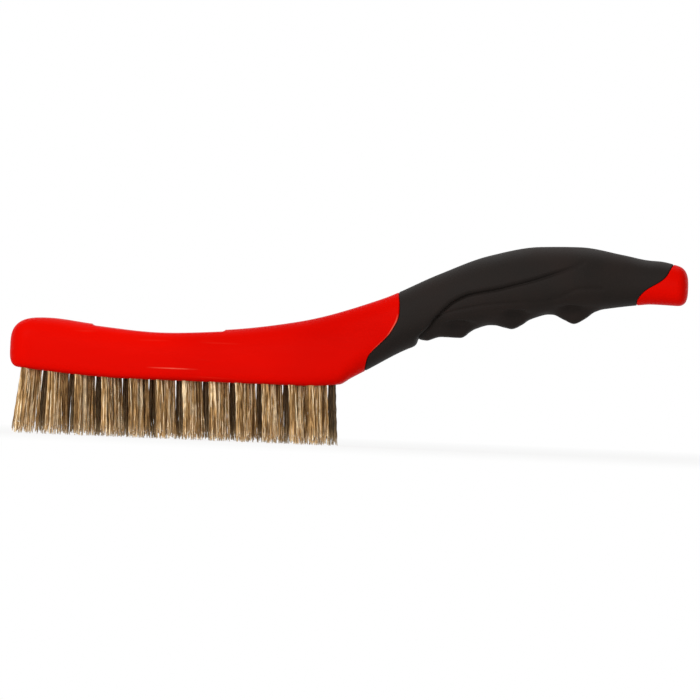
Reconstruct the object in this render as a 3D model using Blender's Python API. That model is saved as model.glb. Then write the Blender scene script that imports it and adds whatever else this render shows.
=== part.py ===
"""Hand wire brush: a moulded body, a soft grip moulded over its handle, and rows of wire tufts.

Metres, +Z up. The nose points to -X and the handle rises to +X. The brush stands on the trimmed
ends of its wires: the origin is on that plane, under the middle of the brush's length.
"""

import math
import random

import bmesh
import bpy
from mathutils import Matrix, Vector

# Lengths along the brush, nose to handle end
head_length = 0.142
neck_length = 0.0105
grip_length = 0.115
tip_length = 0.0225
overall_length = head_length + neck_length + grip_length + tip_length

# Heights: the bristled face stands one trim above the floor, the body rises above the face
bristle_trim = 0.0252
body_rise = 0.0643

# Widths
head_width = 0.0276
neck_width = 0.0240
collar_width = 0.0262
grip_width = 0.0296
tip_width = 0.0212

# Nose and handle end
nose_top_reach = 0.011
nose_bottom_reach = 0.0048
nose_side_reach = 0.0125
tip_reach = 0.0052
end_fullness = 3
blunt_share = 0.38

# The face curls up towards the nose, and the tufts fan out with it
toe_length = 0.050
toe_rise = 0.0035
toe_curl_power = 1.6
toe_fan = math.radians(8.5)
drill_lean = math.radians(2.3)

# Shallow bare panel sunk into the top of the head
panel_start = 0.0366
panel_length = 0.0560
panel_width = 0.0175
panel_depth = 0.00065
panel_corner = 0.0035

# Tufts
tuft_columns = 12
tuft_rows = 4
first_column = 0.0070
heel_margin = 0.0120
heel_column_pitch = 0.0080
column_pitch = (head_length - first_column - heel_margin - heel_column_pitch) / (tuft_columns - 2)
row_margin = 0.0048
row_pitch = (head_width - 2 * row_margin) / (tuft_rows - 1)
tuft_hole_diameter = 0.0035
tuft_hole_depth = 0.0110
strands_in_tuft = 8
strand_gap = 0.00022
strand_spread = 0.0008
strand_wander = 0.00012
root_showing = 0.0005
trim_cut = 0.0005
trim_ragged = 0.0011

# Soft grip
core_height = 0.0125
core_width = 0.0135
front_seam_sweep = 0.0141
rear_seam_sweep = 0.0151
crease_step_front = 0.0022
crease_step_rear = 0.00035
crease_fade_power = 1.3
finger_depth = 0.0048

# Clearance between seated pieces, and the overrun of every cut
clearance = 0.0003
overrun = 0.004
weld = 0.000001

# Mesh fineness
ring_points = 28
ring_spacing = 0.0048
sleeve_ring_spacing = 0.0023
core_points = 14

# Outlines. A station counts 0 to 1 along the head, to 2 along the neck, to 3 along the grip and
# to 4 along the handle end. A rise share is of body_rise, above the face.
top_line_shares = (
    (0.0, 0.373), (0.11, 0.386), (0.25, 0.357), (0.45, 0.327), (0.63, 0.349), (0.87, 0.427),
    (2.05, 0.597), (2.265, 0.781), (2.45, 0.918), (2.64, 0.991), (2.79, 1.0), (2.95, 0.959),
    (3.25, 0.925), (3.45, 0.921), (4.0, 0.875),
)
underside_shares = (
    (0.0, 0.0), (0.90, 0.0), (0.94, 0.005), (0.972, 0.012), (1.0, 0.019), (1.43, 0.061),
    (2.0, 0.114), (2.184, 0.293), (2.413, 0.411), (2.683, 0.529), (2.865, 0.588),
    (3.0, 0.625), (3.33, 0.637), (4.0, 0.632),
)
half_widths = (
    (0.0, head_width / 2), (0.84, head_width / 2), (1.5, neck_width / 2), (2.2, collar_width / 2),
    (2.48, grip_width / 2), (2.7, grip_width / 2), (3.1, tip_width / 2), (4.0, tip_width / 2),
)
# Fullness of a section's upper and lower half: 2 is an ellipse, 8 is nearly a rectangle
upper_fullness = ((0.0, 3.2), (0.85, 3.2), (2.0, 2.5), (2.5, 2.2), (3.0, 2.3), (4.0, 2.7))
lower_fullness = ((0.0, 8.0), (0.9, 8.0), (1.5, 3.4), (2.0, 2.7), (2.5, 2.3), (4.0, 2.7))
widest_height_shares = ((0.0, 0.42), (1.0, 0.42), (2.3, 0.5), (4.0, 0.46))

# Seams of the grip: (share of the seam's sweep, rise share)
front_seam_shares = (
    (-0.10, 0.04), (0.0, 0.13), (0.12, 0.22), (0.42, 0.30), (0.72, 0.39), (0.95, 0.475),
    (1.0, 0.565), (0.95, 0.64), (0.84, 0.76),
)
rear_seam_shares = (
    (0.0, 0.56), (0.0, 0.635), (0.03, 0.67), (0.15, 0.71), (0.31, 0.745), (0.60, 0.79),
    (0.79, 0.825), (0.86, 0.86), (1.0, 0.90), (1.18, 0.96),
)
# Crease under the thumb shell: (share of grip_length, rise share)
crease_shares = (
    (0.190, 0.20), (0.196, 0.32), (0.213, 0.366), (0.234, 0.405), (0.255, 0.467), (0.273, 0.508),
    (0.304, 0.565), (0.327, 0.602), (0.376, 0.65), (0.426, 0.673), (0.496, 0.70), (0.544, 0.725),
    (0.623, 0.767), (0.699, 0.818), (0.783, 0.875), (0.848, 0.925), (0.91, 0.977), (0.955, 1.05),
)
shell_front_share = -0.3
shell_top_share = 1.2
crease_full_share = 0.22
crease_thin_share = 0.91
crease_gone_share = 0.99
# Finger swells: (share of grip_length, share of finger_depth), below zero in the grooves
finger_shares = (
    (0.19, 0.0), (0.205, 0.05), (0.234, 0.28), (0.27, 0.19), (0.305, 0.35), (0.339, 0.55),
    (0.359, 0.63), (0.372, 0.53), (0.385, 0.31), (0.407, 0.08), (0.451, -0.06), (0.482, 0.07),
    (0.517, 0.43), (0.549, 0.69), (0.583, 0.45), (0.606, 0.15), (0.634, 0.0), (0.669, -0.10),
    (0.696, 0.0), (0.739, 0.59), (0.777, 1.03), (0.818, 0.65), (0.852, 0.17), (0.885, 0.02),
    (1.0, 0.0),
)
# Stagger of each row of tufts, as shares of column_pitch
row_stagger_shares = (0.0, 0.235, 0.43, 0.75)
nose_ring_shares = (0.0, 0.03, 0.1, 0.2, 0.36, 0.6)
tip_ring_shares = (0.7, 0.4, 0.2, 0.08, 0.0)


def clear_scene():
    for obj in list(bpy.data.objects):
        bpy.data.objects.remove(obj, do_unlink=True)


def collection(name):
    made = bpy.data.collections.new(name)
    bpy.context.scene.collection.children.link(made)
    return made


def material(name, colour, roughness, metallic=0.0):
    made = bpy.data.materials.new(name)
    made.use_nodes = True
    shader = made.node_tree.nodes["Principled BSDF"]
    shader.inputs["Base Color"].default_value = (*colour, 1)
    shader.inputs["Roughness"].default_value = roughness
    shader.inputs["Metallic"].default_value = metallic
    made.diffuse_color = (*colour, 1)
    return made


def smooth_line(points, at):
    """Height at a place of a smooth line through points, which never swings past them."""
    if at <= points[0][0]:
        return points[0][1]
    if at >= points[-1][0]:
        return points[-1][1]
    slopes = [(b[1] - a[1]) / (b[0] - a[0]) for a, b in zip(points, points[1:])]
    index = next(i for i, p in enumerate(points[1:]) if at <= p[0])
    span = points[index + 1][0] - points[index][0]

    def tangent(i):
        if i == 0:
            return slopes[0]
        if i == len(slopes):
            return slopes[-1]
        before, after = slopes[i - 1], slopes[i]
        return 0.0 if before * after <= 0 else 2 * before * after / (before + after)

    t = (at - points[index][0]) / span
    start, end = points[index][1], points[index + 1][1]
    return (
        start * (1 + 2 * t) * (1 - t) ** 2
        + tangent(index) * span * t * (1 - t) ** 2
        + end * t * t * (3 - 2 * t)
        + tangent(index + 1) * span * t * t * (t - 1)
    )


def place(station):
    """Distance from the nose of a station."""
    lengths = (head_length, neck_length, grip_length, tip_length)
    whole = min(int(station), len(lengths) - 1)
    return sum(lengths[:whole]) + (station - whole) * lengths[whole]


def placed(table, scale=1.0):
    return [(place(station), value * scale) for station, value in table]


TOP_LINE = placed(top_line_shares, body_rise)
UNDERSIDE = placed(underside_shares, body_rise)
HALF_WIDTHS = placed(half_widths)
UPPER_FULLNESS = placed(upper_fullness)
LOWER_FULLNESS = placed(lower_fullness)
WIDEST_HEIGHTS = placed(widest_height_shares)
GRIP_START = place(2)
GRIP_END = place(3)
FINGERS = [(GRIP_START + along * grip_length, depth * finger_depth) for along, depth in finger_shares]


def toe_curl(x):
    return max(0.0, 1 - x / toe_length) ** toe_curl_power


def face_height(x):
    return bristle_trim + toe_rise * toe_curl(x)


def end_round(distance, reach):
    """Share of the full section left at a distance from a rounded end."""
    t = min(max(distance / reach, 0.0), 1.0)
    return max((1 - (1 - t) ** end_fullness) ** (1 / end_fullness), blunt_share)


def envelope(x):
    """Bottom, top and half width of the outer form at a distance from the nose."""
    top = bristle_trim + smooth_line(TOP_LINE, x)
    bottom = face_height(x) + smooth_line(UNDERSIDE, x)
    middle = bottom + (top - bottom) * smooth_line(WIDEST_HEIGHTS, x)
    from_end = overall_length - x
    tip = end_round(from_end, tip_reach)
    top = middle + (top - middle) * end_round(x, nose_top_reach) * tip
    bottom = middle - (middle - bottom) * end_round(x, nose_bottom_reach) * tip
    return bottom, top, smooth_line(HALF_WIDTHS, x) * end_round(x, nose_side_reach) * tip


def share_left(at, start, end):
    """1 before start, 0 past end, straight between."""
    return 1 - min(max((at - start) / (end - start), 0.0), 1.0)


def crease_step(x):
    """Depth of the finger panel under the thumb shell."""
    along = (x - GRIP_START) / grip_length
    full = share_left(along, crease_full_share, crease_thin_share) ** crease_fade_power
    step = crease_step_rear + (crease_step_front - crease_step_rear) * full
    return step * share_left(along, crease_thin_share, crease_gone_share)


def panel_envelope(x):
    """The grip's inner form, which shows below the crease, with the finger swells under it."""
    bottom, top, half_width = envelope(x)
    step = crease_step(x)
    return bottom + step - smooth_line(FINGERS, x), top - step, half_width - step


def section(x, limits, points):
    """One ring of an outer form, a full oval with its own upper and lower fullness."""
    bottom, top, half_width = limits
    middle = bottom + (top - bottom) * smooth_line(WIDEST_HEIGHTS, x)
    ring = []
    for i in range(points):
        angle = 2 * math.pi * i / points
        across, up = math.cos(angle), math.sin(angle)
        fullness = smooth_line(UPPER_FULLNESS if up > 0 else LOWER_FULLNESS, x)
        y = half_width * math.copysign(abs(across) ** (2 / fullness), across)
        reach = top - middle if up > 0 else middle - bottom
        ring.append(Vector((x, y, middle + reach * math.copysign(abs(up) ** (2 / fullness), up))))
    return ring


def core_section(x, grow):
    """One ring of the handle's core, half way between the top line and the underside."""
    bottom, top, _ = envelope(x)
    ring = []
    for i in range(core_points):
        angle = 2 * math.pi * i / core_points
        across = (core_width / 2 + grow) * math.cos(angle)
        up = (core_height / 2 + grow) * math.sin(angle)
        ring.append(Vector((x, across, (bottom + top) / 2 + up)))
    return ring


def evenly(start, end, spacing):
    steps = max(1, round((end - start) / spacing))
    return [start + (end - start) * i / steps for i in range(steps + 1)]


def loft(name, rings):
    """A closed skin through rings of equal count, with flat ends."""
    bm = bmesh.new()
    loops = [[bm.verts.new(point) for point in ring] for ring in rings]
    for near, far in zip(loops, loops[1:]):
        for i in range(len(near)):
            j = (i + 1) % len(near)
            bm.faces.new((near[i], far[i], far[j], near[j]))
    bm.faces.new(loops[0])
    bm.faces.new(list(reversed(loops[-1])))
    return finished(name, bm)


def finished(name, bm):
    bmesh.ops.recalc_face_normals(bm, faces=bm.faces)
    mesh = bpy.data.meshes.new(name)
    bm.to_mesh(mesh)
    bm.free()
    mesh.shade_smooth()
    mesh.set_sharp_from_angle(angle=math.radians(35))
    return bpy.data.objects.new(name, mesh)


def prism(name, outline, thickness):
    """A flat outline, drawn in its own plane, thickened to both sides and made a mesh."""
    curve = bpy.data.curves.new(name, "CURVE")
    curve.dimensions = "2D"
    curve.fill_mode = "BOTH"
    curve.extrude = thickness / 2
    spline = curve.splines.new("POLY")
    spline.points.add(len(outline) - 1)
    for point, (across, up) in zip(spline.points, outline):
        point.co = (across, up, 0, 1)
    spline.use_cyclic_u = True
    drawn = bpy.data.objects.new(name, curve)
    bpy.context.scene.collection.objects.link(drawn)
    graph = bpy.context.evaluated_depsgraph_get()
    mesh = bpy.data.meshes.new_from_object(drawn.evaluated_get(graph))
    bpy.data.objects.remove(drawn, do_unlink=True)
    bpy.data.curves.remove(curve)
    bm = bmesh.new()
    bm.from_mesh(mesh)
    bmesh.ops.remove_doubles(bm, verts=bm.verts, dist=weld)
    bmesh.ops.recalc_face_normals(bm, faces=bm.faces)
    bm.to_mesh(mesh)
    bm.free()
    return bpy.data.objects.new(name, mesh)


def softened(points, parts=4):
    """The points with a smooth curve run through them, each tangent along its two neighbours."""
    knots = [Vector(point) for point in (points[0], *points, points[-1])]
    line = []
    for before, start, end, after in zip(knots, knots[1:], knots[2:], knots[3:]):
        leaving, arriving = (end - before) / 2, (after - start) / 2
        for i in range(parts):
            t = i / parts
            line.append(
                start * (1 + 2 * t) * (1 - t) ** 2
                + leaving * t * (1 - t) ** 2
                + end * t * t * (3 - 2 * t)
                + arriving * t * t * (t - 1)
            )
    return [tuple(point) for point in (*line, knots[-1])]


def grip_outline(inset):
    """The grip seen from the side: between its two seams, and well past it above and below."""
    front = softened([
        (GRIP_START + sweep * front_seam_sweep + inset, bristle_trim + rise * body_rise)
        for sweep, rise in front_seam_shares
    ])
    rear = softened([
        (GRIP_END + sweep * rear_seam_sweep - inset, bristle_trim + rise * body_rise)
        for sweep, rise in rear_seam_shares
    ])
    high = bristle_trim + shell_top_share * body_rise
    return [*front, (front[-1][0], high), (rear[-1][0], high), *reversed(rear)]


def cut(obj, cutter, operation="DIFFERENCE"):
    modifier = obj.modifiers.new(cutter.name, "BOOLEAN")
    modifier.object = cutter
    modifier.operation = operation
    modifier.solver = "EXACT"


class Brush:
    """Holds the collections and the frame that every piece and cutter is parented to."""

    def __init__(self):
        self.parts = collection("hand_brush")
        self.cutters = collection("cutters")
        self.frame = bpy.data.objects.new("brush_frame", None)
        self.frame.location.x = -overall_length / 2
        self.parts.objects.link(self.frame)

    def add(self, obj, surface):
        obj.data.materials.clear()
        obj.data.materials.append(surface)
        self.parts.objects.link(obj)
        obj.parent = self.frame
        return obj

    def tool(self, obj):
        self.cutters.objects.link(obj)
        obj.parent = self.frame
        obj.hide_render = True
        obj.display_type = "WIRE"
        return obj

    def side_prism(self, name, outline):
        """An outline seen from the side, thick enough to pass through the whole brush."""
        made = prism(name, outline, max(head_width, grip_width) + 2 * overrun)
        made.rotation_euler.x = math.radians(90)
        return self.tool(made)


def tuft_places():
    """Frame of each tuft: on the face at the mouth of its hole, its wires along -Z."""
    places = []
    for column in range(tuft_columns):
        start = first_column + column_pitch * column
        if column == tuft_columns - 1:
            start += heel_column_pitch - column_pitch
        for row in range(tuft_rows):
            x = start + row_stagger_shares[row] * column_pitch
            y = (row - (tuft_rows - 1) / 2) * row_pitch
            lean = drill_lean - toe_fan * toe_curl(x)
            mouth = Matrix.Translation((x, y, face_height(x))) @ Matrix.Rotation(-lean, 4, "Y")
            places.append((f"tuft_{column + 1:02d}_{row + 1}", mouth))
    return places


def tuft_holes(places):
    bm = bmesh.new()
    for _, mouth in places:
        bmesh.ops.create_cone(
            bm, cap_ends=True, segments=strands_in_tuft, radius1=tuft_hole_diameter / 2,
            radius2=tuft_hole_diameter / 2, depth=tuft_hole_depth + overrun,
            matrix=mouth @ Matrix.Translation((0, 0, (tuft_hole_depth - overrun) / 2)),
        )
    return finished("tuft_holes", bm)


def tuft(name, mouth, chance):
    """A bundle of wires, folded into its hole and split into strands that spread to the trim."""
    root_top = tuft_hole_depth - clearance
    bm = bmesh.new()
    bmesh.ops.create_cone(
        bm, cap_ends=True, cap_tris=True, segments=strands_in_tuft,
        radius1=tuft_hole_diameter / 2 - clearance, radius2=tuft_hole_diameter / 2 - clearance,
        depth=root_top + root_showing, matrix=Matrix.Translation((0, 0, (root_top - root_showing) / 2)),
    )
    bm.normal_update()
    ends = [face for face in bm.faces if face.normal.z < -0.5]
    bmesh.ops.inset_individual(bm, faces=ends, thickness=strand_gap / 2)
    strands = bmesh.ops.extrude_discrete_faces(bm, faces=ends)["faces"]
    for strand in strands:
        outwards = strand.calc_center_median()
        outwards.z = 0
        wander = Vector((chance.uniform(-1, 1), chance.uniform(-1, 1), 0)) * strand_wander
        length = bristle_trim + trim_cut - trim_ragged * chance.random() ** 2
        reach = outwards.normalized() * strand_spread + wander + Vector((0, 0, root_showing - length))
        for vertex in strand.verts:
            start, end = mouth @ vertex.co, mouth @ (vertex.co + reach)
            kept = min(1.0, start.z / (start.z - end.z))
            vertex.co += reach * kept
    obj = finished(name, bm)
    obj.matrix_local = mouth
    return obj


def head_panel(brush):
    """Cutter of the bare panel: its plan outline, down to a floor that follows the head's crown."""
    panel_end = panel_start + panel_length
    corners = (
        (panel_end, panel_width / 2, 0), (panel_start, panel_width / 2, 90),
        (panel_start, -panel_width / 2, 180), (panel_end, -panel_width / 2, 270),
    )
    outline = []
    for x, y, start in corners:
        centre_x = x - math.copysign(panel_corner, x - (panel_start + panel_end) / 2)
        centre_y = y - math.copysign(panel_corner, y)
        for turn in range(0, 91, 18):
            angle = math.radians(start + turn)
            outline.append((
                centre_x + panel_corner * math.cos(angle),
                centre_y + panel_corner * math.sin(angle),
            ))
    block = prism("head_panel", outline, body_rise)
    block.location.z = bristle_trim + body_rise / 2
    floor = loft("head_panel_floor", [
        section(x, envelope(x), ring_points)
        for x in evenly(panel_start - overrun, panel_end + overrun, ring_spacing)
    ])
    floor.location.z = -panel_depth
    cut(brush.tool(block), brush.tool(floor))
    return block


def brush_body(brush, places):
    """Red moulding: bristle head, neck, the core inside the grip and the handle end."""
    nose = [share * nose_side_reach for share in nose_ring_shares]
    tip = [overall_length - share * tip_reach for share in tip_ring_shares]
    lengthwise = evenly(nose_side_reach, overall_length - tip_reach, ring_spacing)
    body = loft("brush_body", [section(x, envelope(x), ring_points) for x in [*nose, *lengthwise, *tip]])
    pocket = brush.side_prism("grip_pocket", grip_outline(0.0))
    core = loft("handle_core", [
        core_section(x, 0.0)
        for x in evenly(GRIP_START - overrun, GRIP_END + rear_seam_sweep + overrun, 2 * ring_spacing)
    ])
    cut(pocket, brush.tool(core))
    cut(body, pocket)
    cut(body, head_panel(brush))
    cut(body, brush.tool(tuft_holes(places)))
    return body


def grip_sleeve(brush):
    """Black soft moulding round the core: a thumb shell over a sunk panel with finger swells."""
    stations = evenly(GRIP_START - overrun, GRIP_END + rear_seam_sweep + overrun, sleeve_ring_spacing)
    sleeve = loft("grip_sleeve", [section(x, panel_envelope(x), ring_points) for x in stations])
    shell = loft("thumb_shell", [section(x, envelope(x), ring_points) for x in stations])
    crease = softened([
        (GRIP_START + along * grip_length, bristle_trim + rise * body_rise)
        for along, rise in crease_shares
    ])
    high = bristle_trim + shell_top_share * body_rise
    front = GRIP_START + shell_front_share * grip_length
    around = [(crease[-1][0], high), (front, high), (front, 0.0), (crease[0][0], 0.0)]
    region = brush.side_prism("thumb_shell_region", [*crease, *around])
    cut(brush.tool(shell), region, "INTERSECT")
    cut(sleeve, shell, "UNION")
    zone = brush.side_prism("grip_zone", grip_outline(clearance))
    cut(sleeve, zone, "INTERSECT")
    bore = loft("grip_bore", [
        core_section(x, clearance)
        for x in evenly(GRIP_START - overrun, GRIP_END + rear_seam_sweep + overrun, 2 * ring_spacing)
    ])
    cut(sleeve, brush.tool(bore))
    return sleeve


def main():
    clear_scene()
    red_plastic = material("red_plastic", (0.80, 0.012, 0.002), 0.34)
    black_rubber = material("black_rubber", (0.026, 0.022, 0.020), 0.62)
    coated_wire = material("coated_wire", (0.62, 0.47, 0.27), 0.34, 1.0)
    brush = Brush()
    places = tuft_places()
    brush.add(brush_body(brush, places), red_plastic)
    brush.add(grip_sleeve(brush), black_rubber)
    chance = random.Random(7)
    for name, mouth in places:
        brush.add(tuft(name, mouth, chance), coated_wire)


main()
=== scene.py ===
"""Looks of the hand wire brush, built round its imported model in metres.

The nose points to -X, the handle rises to +X, and the wire ends stand on z = 0.
"""

import math

import bmesh
import bpy
import numpy as np
from mathutils import Matrix, Quaternion, Vector


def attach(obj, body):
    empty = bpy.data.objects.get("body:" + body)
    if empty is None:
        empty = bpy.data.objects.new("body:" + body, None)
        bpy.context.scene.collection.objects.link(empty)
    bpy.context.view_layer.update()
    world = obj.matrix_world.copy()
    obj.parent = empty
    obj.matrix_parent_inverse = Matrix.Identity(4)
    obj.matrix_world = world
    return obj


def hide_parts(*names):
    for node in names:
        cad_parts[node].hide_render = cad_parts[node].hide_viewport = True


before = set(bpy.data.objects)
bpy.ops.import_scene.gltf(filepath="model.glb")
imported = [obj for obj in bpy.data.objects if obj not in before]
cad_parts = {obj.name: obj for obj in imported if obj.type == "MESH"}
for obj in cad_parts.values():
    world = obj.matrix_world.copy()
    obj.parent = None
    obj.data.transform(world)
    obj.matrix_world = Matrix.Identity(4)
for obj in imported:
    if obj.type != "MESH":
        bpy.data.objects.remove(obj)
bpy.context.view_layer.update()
scene = bpy.context.scene
scene.view_settings.view_transform = "Standard"

# Camera: far off and level with the middle of the brush, three degrees round towards the handle,
# and rolled as the photograph is, so that the leaning wires run straight down the picture.
view_width = 0.3005
lens_length = 1000.0
sensor_width = 36.0
nearest_seen = 0.05
view_round = math.radians(3.0)
view_roll = math.radians(2.35)
aim = Vector((0.0010, 0.0, 0.0414))
back = Vector((math.sin(view_round), -math.cos(view_round), 0.0))
camera = bpy.data.objects.new("camera", bpy.data.cameras.new("camera"))
camera.data.lens = lens_length
camera.data.sensor_width = sensor_width
camera.data.clip_start = nearest_seen
camera.rotation_mode = "QUATERNION"
camera.location = aim + back * (view_width * lens_length / sensor_width)
camera.rotation_quaternion = back.to_track_quat("Z", "Y") @ Quaternion((0, 0, 1), view_roll)
scene.collection.objects.link(camera)
scene.camera = camera


def grow(tree, kind, settings=None, sockets=None):
    """Adds a node; a socket takes a value, or the output of an earlier node."""
    made = tree.nodes.new(kind)
    for name, value in (settings or {}).items():
        setattr(made, name, value)
    for name, value in (sockets or {}).items():
        if isinstance(value, bpy.types.NodeSocket):
            tree.links.new(value, made.inputs[name])
        else:
            made.inputs[name].default_value = value
    return made


def maths(tree, operation, *values):
    """The result of a Math node on one to three values."""
    made = grow(tree, "ShaderNodeMath", {"operation": operation}, dict(enumerate(values)))
    return made.outputs[0]


def ranged(tree, value, low, high, to_low, to_high):
    """A value carried over from one range to another, and held at its ends."""
    return grow(
        tree, "ShaderNodeMapRange", None,
        {"Value": value, "From Min": low, "From Max": high, "To Min": to_low, "To Max": to_high},
    ).outputs["Result"]


# Studio: a white room without edges. Lamps and room light the brush at about the level at which a
# colour shows as it is written; the camera, mirrors and glass see the room as plain white, and the
# floor as paler from the brush outwards.
room_light = 0.5
seen_white = 1.0
white = (1.0, 1.0, 1.0, 1.0)
floor_reach = 40.0
floor_colour = (0.80, 0.80, 0.79, 1.0)
floor_veil = 0.8
veil_starts, veil_full = 0.25, 0.80
lamps = (
    # name, place, aimed at, side of the square panel, watts
    ("key_panel", (-0.62, -0.85, 0.55), (-0.02, 0.0, 0.04), 0.60, 5.3),
    ("fill_panel", (0.02, -1.15, 0.14), (0.0, 0.0, 0.03), 0.50, 3.4),
    ("top_panel", (0.10, 0.35, 0.95), (0.02, 0.0, 0.06), 0.60, 2.5),
)
for lamp_name, lamp_place, lamp_aim, lamp_side, watts in lamps:
    lamp = bpy.data.objects.new(lamp_name, bpy.data.lights.new(lamp_name, "AREA"))
    lamp.data.size = lamp_side
    lamp.data.energy = watts
    lamp.location = lamp_place
    lamp.rotation_euler = (Vector(lamp_place) - Vector(lamp_aim)).to_track_quat("Z", "Y").to_euler()
    scene.collection.objects.link(lamp)


def plainly_seen(tree):
    """1 for rays that come from the camera, or from a mirror or glass."""
    path = grow(tree, "ShaderNodeLightPath").outputs
    seen = maths(tree, "MAXIMUM", path["Is Camera Ray"], path["Is Glossy Ray"])
    return maths(tree, "MAXIMUM", seen, path["Is Transmission Ray"])


room = bpy.data.worlds.new("white_room")
room.use_nodes = True
tree = room.node_tree
room_strength = ranged(tree, plainly_seen(tree), 0.0, 1.0, room_light, seen_white)
background = tree.nodes["Background"]
background.inputs["Color"].default_value = white
tree.links.new(room_strength, background.inputs["Strength"])
scene.world = room

floor_surface = bpy.data.materials.new("pale_floor")
floor_surface.use_nodes = True
tree = floor_surface.node_tree
matt = grow(tree, "ShaderNodeBsdfDiffuse", None, {"Color": floor_colour})
glow = grow(tree, "ShaderNodeEmission", None, {"Color": white})
from_middle = grow(
    tree, "ShaderNodeVectorMath", {"operation": "LENGTH"},
    {0: grow(tree, "ShaderNodeTexCoord").outputs["Object"]},
).outputs["Value"]
paled = ranged(tree, from_middle, veil_starts, veil_full, floor_veil, 1.0)
veil = maths(tree, "MULTIPLY", plainly_seen(tree), paled)
mixed = grow(
    tree, "ShaderNodeMixShader", None, {0: veil, 1: matt.outputs[0], 2: glow.outputs[0]}
)
tree.links.new(mixed.outputs[0], tree.nodes["Material Output"].inputs["Surface"])
floor_mesh = bpy.data.meshes.new("floor")
floor_mesh.from_pydata(
    [(x * floor_reach, y * floor_reach, 0.0)
     for x, y in ((-1, -1), (1, -1), (1, 1), (-1, 1))],
    [], [(0, 1, 2, 3)],
)
floor_mesh.materials.append(floor_surface)
floor = bpy.data.objects.new("floor", floor_mesh)
scene.collection.objects.link(floor)

# Body: one injection moulding of red polypropylene, from the bristle head, through the core that
# the grip is moulded over, to the handle end. Its skin is drawn in rings on lengthwise lines, which
# stop at the seams of the grip, where the edge is rounded and a wall drops to the core.
head_length = 0.142
neck_length = 0.0105
grip_length = 0.115
tip_length = 0.0225
overall_length = head_length + neck_length + grip_length + tip_length
bristle_trim = 0.0252
body_rise = 0.0643
head_width = 0.0276
neck_width = 0.024
collar_width = 0.0262
grip_width = 0.02948
tip_width = 0.0212
nose_top_reach = 0.013
nose_bottom_reach = 0.0048
nose_side_reach = 0.0125
tip_reach = 0.0052
end_fullness = 3
toe_length = 0.05
toe_rise = 0.0035
toe_curl_power = 1.6
core_height = 0.0125
core_width = 0.0135
front_seam_sweep = 0.0141
rear_seam_sweep = 0.0151
# A station counts 0 to 1 along the head, to 2 along the neck, to 3 along the grip and to 4 along
# the handle end. A rise share is of body_rise, above the bristled face.
top_line_shares = (
    (0.0, 0.373), (0.11, 0.386), (0.25, 0.357), (0.45, 0.327), (0.63, 0.349), (0.87, 0.427),
    (2.05, 0.597), (2.265, 0.781), (2.45, 0.918), (2.64, 0.991), (2.79, 0.9999), (2.95, 0.959),
    (3.25, 0.930), (3.45, 0.927), (4.0, 0.883),
)
underside_shares = (
    (0.0, 0.0), (0.90, 0.0), (0.94, 0.005), (0.972, 0.012), (1.0, 0.019), (1.43, 0.061),
    (2.0, 0.114), (2.184, 0.293), (2.413, 0.411), (2.683, 0.529), (2.865, 0.588),
    (3.0, 0.625), (3.33, 0.637), (4.0, 0.632),
)
half_widths = (
    (0.0, head_width / 2), (0.84, head_width / 2), (1.5, neck_width / 2), (2.2, collar_width / 2),
    (2.48, grip_width / 2), (2.7, grip_width / 2), (3.1, tip_width / 2), (4.0, tip_width / 2),
)
upper_fullness = ((0.0, 3.2), (0.85, 3.2), (2.0, 2.5), (2.5, 2.2), (3.0, 2.3), (4.0, 2.7))
lower_fullness = ((0.0, 8.0), (0.9, 8.0), (1.5, 3.4), (2.0, 2.7), (2.5, 2.3), (4.0, 2.7))
widest_height_shares = ((0.0, 0.42), (1.0, 0.42), (2.3, 0.5), (4.0, 0.46))
front_seam_shares = (
    (-0.08, 0.04), (0.04, 0.13), (0.16, 0.22), (0.49, 0.30), (0.70, 0.35), (0.825, 0.39),
    (1.005, 0.475), (1.02, 0.565), (0.965, 0.64), (0.84, 0.76),
)
rear_seam_shares = (
    (0.06, 0.56), (0.063, 0.635), (0.115, 0.67), (0.24, 0.71), (0.418, 0.745), (0.72, 0.79),
    (0.88, 0.825), (0.96, 0.86), (1.04, 0.90), (1.18, 0.96),
)


def eased(share):
    """A share that starts and ends gently."""
    return share * share * (3 - 2 * share)


def bend(start, end, leaving, arriving, t):
    """A curve from start to end at shares t, with its tangents where it leaves and arrives."""
    return (
        start * (1 + 2 * t) * (1 - t) ** 2 + leaving * t * (1 - t) ** 2
        + end * t * t * (3 - 2 * t) + arriving * t * t * (t - 1)
    )


def smooth_line(table, at):
    """Heights along a smooth line through a table's points, which never swings past them."""
    xs, ys = np.array(table).T
    slopes = np.diff(ys) / np.diff(xs)
    tangents = np.concatenate([slopes[:1], np.zeros(len(xs) - 2), slopes[-1:]])
    turning = slopes[:-1] * slopes[1:] <= 0
    sums = np.where(turning, 1.0, slopes[:-1] + slopes[1:])
    tangents[1:-1] = np.where(turning, 0.0, 2 * slopes[:-1] * slopes[1:] / sums)
    i = np.clip(np.searchsorted(xs, at, side="right") - 1, 0, len(xs) - 2)
    span = xs[i + 1] - xs[i]
    t = np.clip((at - xs[i]) / span, 0.0, 1.0)
    return bend(ys[i], ys[i + 1], tangents[i] * span, tangents[i + 1] * span, t)


def place(station):
    """Distance from the nose of a station."""
    lengths = (head_length, neck_length, grip_length, tip_length)
    whole = min(int(station), len(lengths) - 1)
    return sum(lengths[:whole]) + (station - whole) * lengths[whole]


def placed(table, scale=1.0):
    """A table with its stations turned into distances from the nose."""
    return [(place(station), value * scale) for station, value in table]


TOP_LINE = placed(top_line_shares, body_rise)
UNDERSIDE = placed(underside_shares, body_rise)
HALF_WIDTHS = placed(half_widths)
UPPER_FULLNESS = placed(upper_fullness)
LOWER_FULLNESS = placed(lower_fullness)
WIDEST_HEIGHTS = placed(widest_height_shares)
GRIP_START = place(2)
GRIP_END = place(3)


def toe_curl(x):
    """How far the bristled face has curled up at a distance from the nose, 1 at the nose."""
    return np.maximum(0.0, 1 - x / toe_length) ** toe_curl_power


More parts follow.
